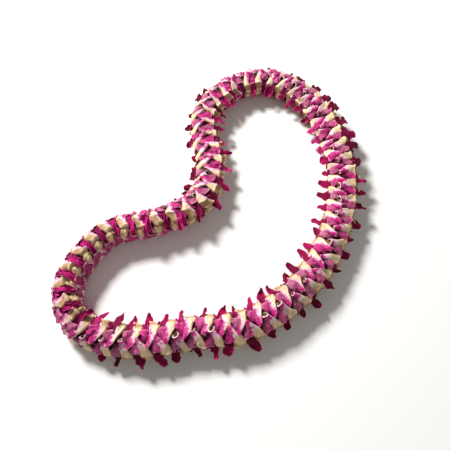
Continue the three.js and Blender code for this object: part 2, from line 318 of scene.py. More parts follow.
# Rolled petals: painted shade at the root end, then cream, mauve and magenta towards a pale rim; the tan band
# below the crease is partly painted shade
def rolledColours(tree, across, length, tone, row, look):
    flushed = compute(tree, 'ADD', length, readAttribute(tree, 'flush'))
    slant = byRow(tree, row, look['slant'])
    root = blushMask(tree, across, length, **look['root'])
    # Painted shade under the crest at the root end
    colour = mixColour(tree, root, look['shadedCream'], look['cream'])
    rise, top, foot, end = look['facetSpan']
    # The tan band below the crease: partly its own tan, partly painted shade
    tanFacetAndShade = compute(tree, 'MULTIPLY', ramp(tree, length, rise, top), ramp(tree, length, end, foot))
    colour = mixColour(tree, tanFacetAndShade, colour, look['tanFacetAndShade'])
    for name, starts in look['starts'].items():
        mask = blushMask(tree, across, flushed, Start=byRow(tree, row, starts), Slant=slant,
                         **look['fronts'][name])
        colour = mixColour(tree, mask, colour, look[name])
    rim = compute(tree, 'MULTIPLY', blushMask(tree, across, length, **look['rimFront']),
                  byRow(tree, row, look['rimShare']))
    return mixColour(tree, rim, colour, look['rim'])


throatLook = {
    'lip': paint(186, 152, 82), 'throatShade': paint(70, 38, 18), 'lipSpan': (0.8, 1.0),
    'roughness': 0.6, 'glow': 0.1, 'veinLines': 8.0, 'veinDepth': 0.3, 'veinPaint': paint(150, 90, 60),
    'grain': 0.2, 'mottle': 0.3, 'crumple': 0.5, 'toneSpan': 0.3, 'bump': 0.4,
}


# Throat: ochre at the lip, darkening further inside the tube to painted shade
def throatColours(tree, across, length, tone, row, look):
    return mixColour(tree, ramp(tree, length, *look['lipSpan']), look['throatShade'], look['lip'])


skirtLook = {
    'foldShade': paint(62, 4, 28), 'foldUntil': 0.55, 'mauve': paint(196, 110, 144), 'bright': paint(182, 38, 114),
    'flushGain': 3.0, 'rim': paint(238, 186, 202), 'rimShare': 0.7, 'rimSpan': (0.6, 0.95), 'sideReach': 0.98,
    'rimFront': {'Start': 0.9, 'Softness': 0.1, 'Unevenness': 0.05},
    'roughness': 0.56, 'sheen': 0.06, 'shine': 0.16, 'veinDepth': 0.42, 'veinPaint': paint(160, 84, 124),
    'toneSpan': 0.34,
}


# Skirt petals: mauve with fine veins, painted shade towards the root where the petal runs under, and a pale
# curled edge
def skirtColours(tree, across, length, tone, row, look):
    share = compute(tree, 'MULTIPLY_ADD', readAttribute(tree, 'flush'), look['flushGain'], tone, clamp=True)
    colour = mixColour(tree, share, look['mauve'], look['bright'])
    # Painted shade towards the root, where the skirt runs under the rolled petal
    colour = mixColour(tree, ramp(tree, length, look['foldUntil'], 0.0), colour, look['foldShade'])
    side = compute(tree, 'MULTIPLY', compute(tree, 'ABSOLUTE', across), look['sideReach'])
    border = compute(tree, 'MAXIMUM', length, side)
    edge = compute(tree, 'MULTIPLY', blushMask(tree, across, border, **look['rimFront']),
                   ramp(tree, length, *look['rimSpan']))
    return mixColour(tree, compute(tree, 'MULTIPLY', edge, look['rimShare']), colour, look['rim'])


sepalLook = {
    'wine': paint(96, 4, 34), 'crimson': paint(150, 12, 74), 'rowGain': 0.42, 'toneGain': 0.45,
    'bright': paint(196, 34, 122), 'brightSpan': (0.02, 0.2),
    'edge': paint(228, 100, 164), 'edgeShare': (0.08, 0.55),
    'edgeFront': {'Start': 0.72, 'Softness': 0.3},
    'tip': paint(216, 84, 146), 'tipShare': (0.2, 0.65),
    'tipFront': {'Start': 0.88, 'Softness': 0.12, 'Unevenness': 0.05},
    'roughness': 0.68, 'glow': 0.05, 'shine': 0.08, 'veinPaint': paint(150, 70, 110), 'grain': 0.16,
    'mottle': 0.6, 'crumple': 1.0, 'toneSpan': 0.4,
}


# Dorsal sepals: dark wine, more crimson in the inner row, brighter where rolled over, pale at the very tip
def sepalColours(tree, across, length, tone, row, look):
    share = compute(tree, 'MULTIPLY_ADD', row, look['rowGain'],
                    compute(tree, 'MULTIPLY', tone, look['toneGain']), clamp=True)
    colour = mixColour(tree, share, look['wine'], look['crimson'])
    bright = ramp(tree, readAttribute(tree, 'flush'), *look['brightSpan'])
    colour = mixColour(tree, bright, colour, look['bright'])
    side = compute(tree, 'ABSOLUTE', across)
    for name, where in (('edge', side), ('tip', length)):
        mask = compute(tree, 'MULTIPLY', blushMask(tree, across, where, **look[name + 'Front']),
                       byRow(tree, row, look[name + 'Share']))
        colour = mixColour(tree, mask, colour, look[name])
    return colour


backLook = {
    'cream': paint(226, 204, 158), 'tan': paint(196, 158, 108), 'groove': paint(64, 26, 18),
    'roughness': 0.54, 'sheen': 0.03, 'veinLines': 9.0, 'veinDepth': 0.1, 'veinPaint': paint(196, 150, 110),
    'mottle': 0.4, 'crumple': 0.7, 'toneSpan': 0.18, 'bump': 0.7,
}
# The dark groove colour inside the collar is painted shadow under the chin
collarLook = {**backLook, 'front': {'Start': 0.3, 'Softness': 0.3, 'Slant': 0.1}, 'grooveShadowSpan': (0.72, 0.84)}
# The cream top of the chin partly stands for a painted highlight
chinLook = {**backLook, 'front': {'Start': 0.5, 'Softness': 0.5, 'Slant': 0.1}}


# The back of a bloom: tan below, cream above (on the chin partly a painted highlight), and painted shadow
# inside the collar under the chin
def backColours(tree, across, length, tone, row, look):
    colour = mixColour(tree, blushMask(tree, across, length, **look['front']), look['tan'], look['cream'])
    if 'grooveShadowSpan' in look:
        colour = mixColour(tree, ramp(tree, length, *look['grooveShadowSpan']), colour, look['groove'])
    return colour


# The dark wine of the flower tubes partly stands for painted shade in the gaps between the blooms, and the
# heart is painted in shade all over at a lower strength
coreLook = {
    'low': paint(112, 12, 66), 'high': paint(140, 34, 92),
    'front': {'Start': 0.3, 'Softness': 0.5, 'Slant': 0.1}, 'paintedShadeStrength': 0.4,
    'roughness': 0.75, 'glow': 0.0, 'shine': 0.1, 'veinLines': 12.0,
    'veinPaint': paint(90, 50, 50), 'grain': 0.3, 'mottle': 0.4, 'crumple': 0.8, 'toneSpan': 0.2,
}


def coreColours(tree, across, length, tone, row, look):
    return mixColour(tree, blushMask(tree, across, length, **look['front']), look['low'], look['high'])


threadLook = {
    'light': paint(240, 236, 224),
    'dark': paint(176, 168, 148),
    'strands': {'Scale': 1500.0, 'Distortion': 2.0, 'Detail': 2.0},
    'twist': {'Strength': 0.6, 'Distance': 0.0002},
    'roughness': 0.85,
}


# Cotton thread with its twist
def makeThreadSkin(look):
    material, shader = newMaterial('cottonThread')
    tree = material.node_tree
    place = addNode(tree, 'ShaderNodeTexCoord').outputs['Object']
    wave = addNode(tree, 'ShaderNodeTexWave', {'Vector': place, **look['strands']},
                   bands_direction='DIAGONAL').outputs['Fac']
    tree.links.new(mixColour(tree, wave, look['dark'], look['light']), shader.inputs['Base Color'])
    bump = addNode(tree, 'ShaderNodeBump', {'Height': wave, **look['twist']})
    tree.links.new(bump.outputs[0], shader.inputs['Normal'])
    shader.inputs['Roughness'].default_value = look['roughness']
    return material


rolledSkin = makeSkin('rolledPetalSkin', rolledColours, rolledLook)
throatSkin = makeSkin('petalThroat', throatColours, throatLook)
skirtSkin = makeSkin('skirtPetalSkin', skirtColours, skirtLook)
sepalSkin = makeSkin('dorsalSepalSkin', sepalColours, sepalLook)
collarSkin = makeSkin('bloomCollarSkin', backColours, collarLook)
chinSkin = makeSkin('bloomChinSkin', backColours, chinLook)
coreSkin = makeSkin('flowerTubeShadeSkin', coreColours, coreLook)
threadSkin = makeThreadSkin(threadLook)
print('materials ready')


# Helpers for the meshes
def startPiece(name):
    piece = bpy.context.object
    piece.name = piece.data.name = name
    return piece


def finishPiece(piece, skins):
    bpy.ops.object.mode_set(mode='OBJECT')
    for skin in skins:
        piece.data.materials.append(skin)
    return piece


ringTurns = {'X': (0, math.pi / 2, 0), 'Y': (math.pi / 2, 0, 0), 'Z': (0, 0, 0)}


# A closed form drawn out ring by ring: each ring has its middle and its half sizes, in mm
def extrudeRings(name, axis, sides, rings):
    bpy.ops.object.select_all(action='DESELECT')
    bpy.ops.mesh.primitive_circle_add(vertices=sides, radius=1, fill_type='NGON', rotation=ringTurns[axis])
    piece = startPiece(name)
    bpy.ops.object.transform_apply(rotation=True)
    bpy.ops.object.mode_set(mode='EDIT')
    bpy.ops.mesh.select_all(action='SELECT')
    middle, half = Vector((0, 0, 0)), Vector((1, 1, 1))
    for index, ring in enumerate(rings):
        nextMiddle = Vector(ring[:3]) * mm
        nextHalf = Vector([size * mm if size else 1 for size in ring[3:6]])
        step = nextMiddle - middle
        if index == 0:
            bpy.ops.transform.translate(value=step)
        else:
            bpy.ops.mesh.extrude_region_move(TRANSFORM_OT_translate={'value': step})
        scale = [new / old for new, old in zip(nextHalf, half)]
        bpy.ops.transform.resize(value=scale, center_override=nextMiddle)
        middle, half = nextMiddle, nextHalf
    bpy.ops.mesh.select_all(action='DESELECT')
    bpy.ops.mesh.select_mode(type='EDGE')
    bpy.ops.mesh.select_non_manifold()
    bpy.ops.mesh.edge_face_add()
    bpy.ops.mesh.select_mode(type='VERT')
    bpy.ops.mesh.select_all(action='SELECT')
    bpy.ops.mesh.normals_make_consistent(inside=False)
    return piece


# A petal cut from a sheet: each row has y, x, z, half width, dish and curl, in mm
def bendSheet(name, columns, rows, thickness):
    bpy.ops.object.select_all(action='DESELECT')
    bpy.ops.mesh.primitive_grid_add(x_subdivisions=columns, y_subdivisions=len(rows) - 1, size=2)
    piece = startPiece(name)
    piece.data.uv_layers[0].name = 'petal'
    heights = sorted({round(vertex.co.y, 4) for vertex in piece.data.vertices})
    rowOf = [heights.index(round(vertex.co.y, 4)) for vertex in piece.data.vertices]
    bpy.ops.object.mode_set(mode='EDIT')
    bpy.ops.mesh.select_mode(type='VERT')
    for index, (y, x, z, half, dish, curl) in enumerate(rows):
        cut = bmesh.from_edit_mesh(piece.data)
        for vertex in cut.verts:
            vertex.select_set(rowOf[vertex.index] == index)
        cut.select_flush_mode()
        bmesh.update_edit_mesh(piece.data)
        height = heights[index]
        bpy.ops.transform.resize(value=(half * mm, 1, 1), center_override=(0, height, 0))
        bpy.ops.transform.translate(value=(x * mm, y * mm - height, z * mm))
        cut = bmesh.from_edit_mesh(piece.data)
        for vertex in cut.verts:
            if rowOf[vertex.index] == index:
                side = (vertex.co.x - x * mm) / (half * mm)
                vertex.co.z += (dish * (1 - side * side) + curl * side ** 4) * mm
        bmesh.update_edit_mesh(piece.data)
    bpy.ops.object.mode_set(mode='OBJECT')
    solidify = piece.modifiers.new('thickness', 'SOLIDIFY')
    solidify.thickness = thickness * mm
    solidify.offset = 0
    bpy.ops.object.modifier_apply(modifier=solidify.name)
    return piece


def readPoints(mesh):
    points = np.empty(len(mesh.vertices) * 3)
    mesh.vertices.foreach_get('co', points)
    return points.reshape(-1, 3)


def writePoints(mesh, points):
    mesh.vertices.foreach_set('co', np.asarray(points).ravel())
    mesh.update()


def writeUv(mesh, across, length):
    layer = mesh.uv_layers.get('petal') or mesh.uv_layers.new(name='petal')
    corners = np.empty(len(mesh.loops), dtype=np.int32)
    mesh.loops.foreach_get('vertex_index', corners)
    layer.data.foreach_set('uv', np.stack([across[corners], length[corners]], axis=1).ravel())


# A form drawn flat, with y as the way round, is wrapped round a straight thread
wrapRadius = 12.0


def wrapRoundThread(piece):
    x, y, z = readPoints(piece.data).T
    turn = y / (wrapRadius * mm)
    writePoints(piece.data, np.stack([x, z * np.sin(turn), z * np.cos(turn)], axis=1))
    return piece


def arc(degrees):
    return math.radians(degrees) * wrapRadius


# Smooth values between the listed rows of a form
def inBetween(rows, count):
    table = np.array(rows, dtype=float)
    known = np.linspace(0, 1, len(table))
    wanted = np.linspace(0, 1, count)
    slopes = np.gradient(table, known, axis=0)
    index = np.clip(np.searchsorted(known, wanted, side='right') - 1, 0, len(table) - 2)
    gap = (known[index + 1] - known[index])[:, None]
    share = ((wanted - known[index]) / gap[:, 0])[:, None]
    start, end = table[index], table[index + 1]
    startSlope, endSlope = slopes[index] * gap, slopes[index + 1] * gap
    cube, square = share ** 3, share ** 2
    return ((2 * cube - 3 * square + 1) * start + (cube - 2 * square + share) * startSlope
            + (3 * square - 2 * cube) * end + (cube - square) * endSlope)


# Rolled petals: two tubes that run from the back of the bloom over and under the thread
rolledPetal = {
    'sides': 18,
    'rings': 9,
    # degrees round the thread, along it, half width, lowest and highest radius
    'crest': [(112, 2.4, 2.8, 9.0, 12.0), (105, 2.6, 4.0, 9.0, 13.8), (98, 2.7, 4.7, 9.2, 15.2),
              (92, 2.6, 5.1, 9.4, 16.0), (88, 2.5, 5.2, 9.4, 16.1), (80, 2.0, 5.3, 9.2, 15.7),
              (70, 1.5, 5.4, 9.0, 15.7), (63, 1.2, 5.5, 8.8, 16.2), (59, 1.1, 5.5, 8.8, 16.7)],
    'open': [(56, 1.3, 5.4, 8.8, 16.0), (46, 2.1, 5.1, 8.8, 15.0), (30, 3.6, 4.6, 9.0, 14.5),
             (12, 5.2, 4.0, 9.3, 14.9), (-3, 6.5, 3.4, 10.1, 15.9), (-13, 7.2, 3.1, 10.9, 16.6)],
    'narrow': [(56, 1.3, 5.2, 8.8, 16.0), (46, 2.0, 4.9, 8.8, 15.1), (30, 3.4, 4.5, 9.0, 14.5),
               (12, 5.0, 3.8, 9.3, 14.8), (-2, 6.3, 2.9, 10.4, 15.6), (-11, 7.0, 2.1, 11.8, 16.1)],
    'pinched': [(56, 1.3, 5.3, 8.8, 16.0), (46, 2.1, 5.0, 8.8, 15.1), (30, 3.6, 4.6, 9.0, 14.7),
                (12, 5.4, 4.0, 9.2, 14.9), (-3, 7.0, 3.0, 9.8, 15.5), (-14, 8.3, 1.7, 11.2, 16.1),
                (-20, 9.0, 0.6, 13.0, 16.2)],
    'back': [(106, 1.0, 3.6, 6.5, 12.0), (122, 0.8, 5.2, 7.0, 13.8), (144, 2.0, 5.0, 7.6, 15.0),
             (168, 4.4, 4.2, 9.0, 15.1), (182, 5.8, 3.3, 9.6, 15.0), (194, 6.8, 2.0, 10.8, 14.8),
             (200, 7.2, 0.8, 12.0, 14.4)],
    # the lip that turns in to the throat: how far past the mouth, and its width
    'lip': [(0.04, 1.07), (0.1, 1.02), (0.12, 0.88), (0.06, 0.75), (-0.3, 0.62), (-0.8, 0.5)],
    'throatFrom': 3,
    'throatDepth': 18,
    'pastMouth': 2,
    'wobble': 0.09,
    'wobbleWaves': (3, 1),
    'foldShare': 0.3,
    'boxy': 2.7,
    'rearEdge': (140, 17, 0.24),
    'frontFall': (45, 28, 0.1),
    'undercut': (180, 26, 0.16),
    'groove': (0.12, 0.2, 0.45),
    'roundFrom': 0.35,
    'peakTurn': 89,
    'peakSpan': 8,
    'peakLean': 2.6,
    'peakLift': 2.7,
    'peakFrom': (-2, 9),
    'mouthSlope': {'open': 0.85, 'narrow': 0.55, 'pinched': 0.1, 'back': 0.0},
    'mouthTurn': 0.3,
    'mouthFrom': 0.8,
}


def hump(value, middle, span):
    return np.exp(-((value - middle) / span) ** 2)


def makeRolledPetal(name, spec, kind):
    crest = [] if kind == 'back' else spec['crest']
    tube = inBetween(spec[kind], spec['rings'])
    outer = np.array(list(crest) + list(tube))
    mouth = outer[-1]
    towards = math.copysign(1, mouth[0] - outer[0][0])

    def makeRing(turn, along, half, low, high, narrow=1):
        return along, arc(turn), (low + high) / 2, half * narrow, 0, (high - low) / 2 * narrow

    rings = [makeRing(*row) for row in outer]
    tips = []
    for share, narrow in (spec['lip'] if kind in ('open', 'narrow') else []):
        turn = mouth[0] + towards * share * spec['throatDepth']
        row = (np.interp(turn * towards, outer[:, 0] * towards, column) for column in outer.T[1:])
        tips.append(makeRing(turn, *row, narrow))
    piece = finishPiece(extrudeRings(name, 'Y', spec['sides'], rings + tips), [rolledSkin, throatSkin])
    points = readPoints(piece.data)
    x, y, z = points.T / mm
    table = np.array(rings + tips)
    order = (np.arange(len(points)) // spec['sides']).clip(0, len(table) - 1)
    centre, middle, half, tall = (table[order, column] for column in (0, 2, 3, 5))
    turn = np.degrees(y / wrapRadius)
    marks = [(outer[0][0], 0.0)] * bool(crest)
    marks += [(tube[0][0], spec['foldShare']), (mouth[0] + spec['pastMouth'] * towards, 1.0)]
    length = np.interp(turn * towards, [mark * towards for mark, share in marks],
                       [share for mark, share in marks])
    across, high = (x - centre) / half, (z - middle) / tall
    # The folded strip is flat on top, with a sharp rear edge and a front that falls away
    angle = np.degrees(np.arctan2(high, across))
    fade = np.clip((1 - length) / spec['roundFrom'], 0, 1) * (order < len(rings))
    boxy = (np.abs(across) ** spec['boxy'] + np.abs(high) ** spec['boxy']) ** (-1 / spec['boxy'])
    edge, fall, under = spec['rearEdge'], spec['frontFall'], spec['undercut']
    swell = (edge[2] * hump(angle, *edge[:2]) - fall[2] * hump(angle, *fall[:2])
             - under[2] * hump(np.abs(angle), *under[:2]))
    waves, phase = spec['wobbleWaves']
    wobble = spec['wobble'] * np.sin(np.radians(angle) * waves + phase)
    scale = 1 + fade * (boxy - 1 + swell) + (1 - fade) * wobble
    x, z = centre + (x - centre) * scale, middle + (z - middle) * scale
    groove = spec['groove']
    z -= fade * groove[2] * hump(across, *groove[:2]) * (high > 0)
    if crest:
        peak = hump(turn, spec['peakTurn'], spec['peakSpan']) * np.clip(high, 0, 1)
        x = x + spec['peakLean'] * peak
        start, rise = spec['peakFrom']
        z = z + spec['peakLift'] * peak * np.clip((x - start) / rise, 0, 1) ** 2
    # The mouth is cut at a slant, so that it opens a little upward and ahead
    nearMouth = np.clip((length - spec['mouthFrom']) / (1 - spec['mouthFrom']), 0, 1) ** 2
    slope = spec['mouthSlope'][kind] * (z - middle) + spec['mouthTurn'] * (x - centre)
    writePoints(piece.data, np.stack([x, y - towards * nearMouth * slope, z], axis=1) * mm)
    writeUv(piece.data, np.clip(across, -1, 1) / 2 + 0.5, length)
    for polygon in piece.data.polygons:
        inside = min(order[corner] for corner in polygon.vertices) >= len(rings) + spec['throatFrom']
        polygon.material_index = 1 if inside else 0
    return wrapRoundThread(piece)


# Skirt petals: broad paddles that fill the rope between the rolled petals
skirtPetal = {
    'columns': 8,
    'rows': 11,
    'thickness': 0.45,
    'ruffle': 0.8,
    # degrees round the thread, along it, radius, half width, dish, curl of the edges
    'long': [
        (-8, 10.4, 11.2, 1.4, 0.3, 0.0), (6, 10.3, 11.9, 2.2, 0.7, 0.1), (20, 10.1, 12.5, 3.0, 1.0, 0.2),
        (34, 9.9, 13.0, 3.8, 1.2, 0.2), (45, 9.8, 13.6, 4.3, 1.2, 0.4), (53, 9.9, 14.4, 4.2, 0.9, 0.5),
        (58, 10.0, 15.3, 3.5, 0.5, 0.3)],
    'short': [
        (-10, 10.2, 11.2, 1.4, 0.3, 0.0), (0, 10.2, 11.9, 2.3, 0.7, 0.1), (12, 10.1, 12.5, 3.1, 1.0, 0.2),
        (24, 9.9, 13.0, 3.8, 1.2, 0.2), (34, 9.8, 13.6, 4.3, 1.2, 0.4), (41, 9.9, 14.4, 4.2, 0.9, 0.5),
        (46, 10.0, 15.2, 3.5, 0.5, 0.3)],
    'back': [
        (200, 10.0, 12.0, 1.8, 0.4, 0.0), (186, 9.8, 12.4, 2.8, 0.7, 0.0), (172, 9.6, 12.8, 3.8, 0.9, 0.1),
        (160, 9.5, 13.1, 4.6, 1.0, 0.3), (148, 9.5, 13.6, 5.0, 1.0, 0.4), (139, 9.6, 14.4, 4.7, 0.7, 0.4),
        (133, 9.8, 15.2, 3.6, 0.4, 0.2)],
}

# The dark broad base of the dorsal sepal, crumpled down the side of the rope
sepalBase = {
    'columns': 8,
    'rows': 17,
    'thickness': 0.45,
    'ruffle': 1.0,
    'path': [
        (34, 10.4, 12.2, 2.0, 0.3, 0.0), (48, 10.2, 13.2, 2.6, 0.3, 0.5), (66, 10.2, 14.0, 2.9, 0.0, 1.2),
        (88, 10.3, 14.4, 2.9, -0.2, 1.6), (110, 10.5, 14.2, 2.9, -0.2, 1.5), (130, 10.8, 13.5, 2.8, 0.1, 0.9),
        (146, 11.0, 12.8, 2.7, 0.4, 0.2)],
}


# Waves that grow towards the long edges, and a slip of the whole petal to and fro
sheetWaves = {'halfWidth': 4, 'edgeMost': 1.3, 'edge': (1.15, 1.3), 'slipShare': 0.7, 'slip': (0.9, 0.6)}


def makeSheetPetal(name, spec, path, skin):
    rows = [(arc(turn), along, radius, half, dish, curl)
            for turn, along, radius, half, dish, curl in inBetween(path, spec['rows'])]
    piece = finishPiece(bendSheet(name, spec['columns'], rows, spec['thickness']), [skin])
    points = readPoints(piece.data)
    x, y, z = points.T / mm
    aside = x - np.mean([row[1] for row in rows])
    edge = np.clip(np.abs(aside) / sheetWaves['halfWidth'], 0, sheetWaves['edgeMost'])
    edgeWave, edgePhase = sheetWaves['edge']
    slipWave, slipPhase = sheetWaves['slip']
    points[:, 2] += spec['ruffle'] * mm * edge * np.sin(y * edgeWave + np.sign(aside) * edgePhase)
    points[:, 0] += spec['ruffle'] * mm * sheetWaves['slipShare'] * np.sin(y * slipWave + slipPhase)
    writePoints(piece.data, points)
    return wrapRoundThread(piece)


# The back of a bloom: an oval chin in its collar
bloomBack = {
    'sides': 14,
    # radius, half sizes along the thread and round it; the middle lies at one place
    'collar': [(8.5, 3.8, 3.4), (11.0, 5.4, 5.0), (13.2, 6.1, 5.7), (14.3, 6.1, 5.7), (14.7, 5.6, 5.2),
               (14.3, 5.0, 4.6), (12.4, 4.8, 4.4)],
    'collarPlace': (1.9, 128),
    'chin': [(10.8, 3.8, 3.7), (12.6, 4.6, 4.4), (14.0, 4.5, 4.3), (14.9, 3.9, 3.7), (15.4, 2.6, 2.5),
             (15.6, 1.0, 1.0)],
    'chinPlace': (1.2, 122),
    'paintWidth': 12,
}


def makeDome(name, spec, rows, place, skin):
    rings = [(place[0], arc(place[1]), radius, half, tall, 0) for radius, half, tall in rows]
    piece = finishPiece(extrudeRings(name, 'Z', spec['sides'], rings), [skin])
    x, y, z = readPoints(piece.data).T
    order = (np.arange(len(x)) // spec['sides']).clip(0, len(rows) - 1)
    across = np.clip((x / mm - place[0]) / spec['paintWidth'] + 0.5, 0, 1)
    writeUv(piece.data, across, order / (len(rows) - 1))
    return wrapRoundThread(piece)


# The flower tubes at the heart, bored for the thread from one end and closed by a skin at the other
heartTubes = {'sides': 12, 'radius': 11.4, 'bore': 2.3, 'endGap': 0.15, 'steps': 4}


def makeHeart(spec):
    outside = np.linspace(spec['endGap'], pitch / mm - spec['endGap'], spec['steps'])
    rings = [(along, 0, 0, 0, spec['radius'], spec['radius']) for along in outside]
    rings += [(along, 0, 0, 0, spec['bore'], spec['bore']) for along in outside[::-1]]
    return finishPiece(extrudeRings('heart', 'X', spec['sides'], rings), [coreSkin])


def joinPieces(name, pieces):
    bpy.ops.object.select_all(action='DESELECT')
    for piece in pieces:
        piece.select_set(True)
    bpy.context.view_layer.objects.active = pieces[0]
    bpy.ops.object.join()
    return startPiece(name)


def makeBloom(kind):
    frontPath = skirtPetal['short' if kind == 'pinched' else 'long']
    return joinPieces(kind + 'Bloom', [
        makeRolledPetal('frontRolled', rolledPetal, kind),
        makeRolledPetal('backRolled', rolledPetal, 'back'),
        makeSheetPetal('frontSkirt', skirtPetal, frontPath, skirtSkin),
        makeSheetPetal('backSkirt', skirtPetal, skirtPetal['back'], skirtSkin),
        makeSheetPetal('sepalBase', sepalBase, sepalBase['path'], sepalSkin),
        makeDome('collar', bloomBack, bloomBack['collar'], bloomBack['collarPlace'], collarSkin),
        makeDome('chin', bloomBack, bloomBack['chin'], bloomBack['chinPlace'], chinSkin),
    ])


masterBlooms = {kind: makeBloom(kind) for kind in ('open', 'narrow', 'pinched')}
masterHeart = makeHeart(heartTubes)
print('master blooms ready:', [len(bloom.data.polygons) for bloom in masterBlooms.values()], 'faces')

# The dark sepal that stands out between two shoulders
crownSepal = {
    'columns': 6,
    'rows': 13,
    'thickness': 0.4,
    'drawnLength': 10,
    'drawnHalf': 4,
    # share of its length, half width in mm, dish, curl of the edges
    'outline': [(0.0, 2.6, 0.2, 0), (0.12, 3.3, 0.3, 0.1), (0.25, 3.9, 0.5, 0.3), (0.4, 4.3, 0.7, 0.5),
                (0.55, 4.4, 0.8, 0.6), (0.7, 4.4, 0.8, 0.8), (0.84, 4.2, 0.6, 0.9), (0.94, 3.6, 0.3, 0.6),
                (1.0, 2.5, 0.0, 0.2)],
    'backAngle': 90,
    # degrees round the thread and radius, from under the skirt petal to the tip
    'spine': [(48, 13.0), (62, 15.0), (76, 17.4), (84, 20.6), (88, 25.0)],
    'curveSteps': 8,
    'slopeStep': 0.02,
    'along': 9.8,
    'reach': 25.0,
    # drawn for each sepal, in the order that laySepal takes them
    'drawn': ('widthShare', 'lengthShare', 'lean', 'twist', 'sway', 'droop', 'taper', 'valley', 'frillWaves'),
    'widthShare': (0.5, 1.12),
    'lengthShare': (0.72, 1.1),
    'lean': (-0.5, 7.5),
    'twist': (-65, 65),
    'sway': (-2.0, 2.0),
    'droop': (-3.0, 3.0),
    'taper': (0.0, 0.65),
    'valley': (0.0, 2.6),
    'frillWaves': (7, 12),
    'curlBelow': 0.85,
    'curlMore': 7.0,
    'openedBy': 0.5,
    'laidFrom': 0.6,
    'laidBy': 0.95,
    'laidRadius': 15.7,
    'laidTurns': (40, 128),
    'laidSlip': 2.3,
    'laidNarrow': 0.42,
    'laidFrill': 1.2,
    'laidWithin': 1 / 3,
    'settle': 0.55,
    'bendShare': 0.6,
    'frill': 1.2,
    'frillSlant': 0.4,
    'waver': 0.12,
    'waverWaves': 11,
    # painted shade at the root of the sepal, fading out along it
    'paintedShadeFade': 2.2,
    # stretches of the loop with other sepals: row, first and last pair, width, length, twist, lift
    'stretchWidth': 0.75,
    'stretches': [(1, 24, 31, 1.9, 1.0, 0.12, 3.0), (1, 11, 19, 1.35, 0.82, 0.4, 0.0),
                  (1, 32, 50, 1.16, 1.02, 0.8, 0.5), (-1, 27, 40, 1.2, 1.04, 0.9, 0.5)],
}


def makeSepal(spec):
    rows = [(share * spec['drawnLength'], 0, 0, half, dish, curl)
            for share, half, dish, curl in inBetween(spec['outline'], spec['rows'])]
    return finishPiece(bendSheet('masterSepal', spec['columns'], rows, spec['thickness']), [sepalSkin])


masterSepal = makeSepal(crownSepal)


def turnedPlace(place, forward, left, roll, along, turn, radius):
    angle = turn + roll
    return (place + forward * (along * mm)[:, None] + left * (radius * mm * np.sin(angle))[:, None]
            + up * (radius * mm * np.cos(angle))[:, None])


softHeight = 1.0  # mm


# Below the soft height over the table a petal is pressed flat, and never reaches under it
def pressOnTable(points):
    soft = softHeight * mm
    low = points[:, 2] < soft
    points[low, 2] = soft * np.exp((points[low, 2] - soft) / soft)
    return points


def setAttribute(mesh, name, values):
    attribute = mesh.attributes.new(name, 'FLOAT', 'POINT')
    attribute.data.foreach_set('value', values)


# How far a point lies down among the petals, for the painted shade there
def paintDepthShade(mesh, depth):
    setAttribute(mesh, 'paintedDepthShade', np.clip(depth, 0, 1))


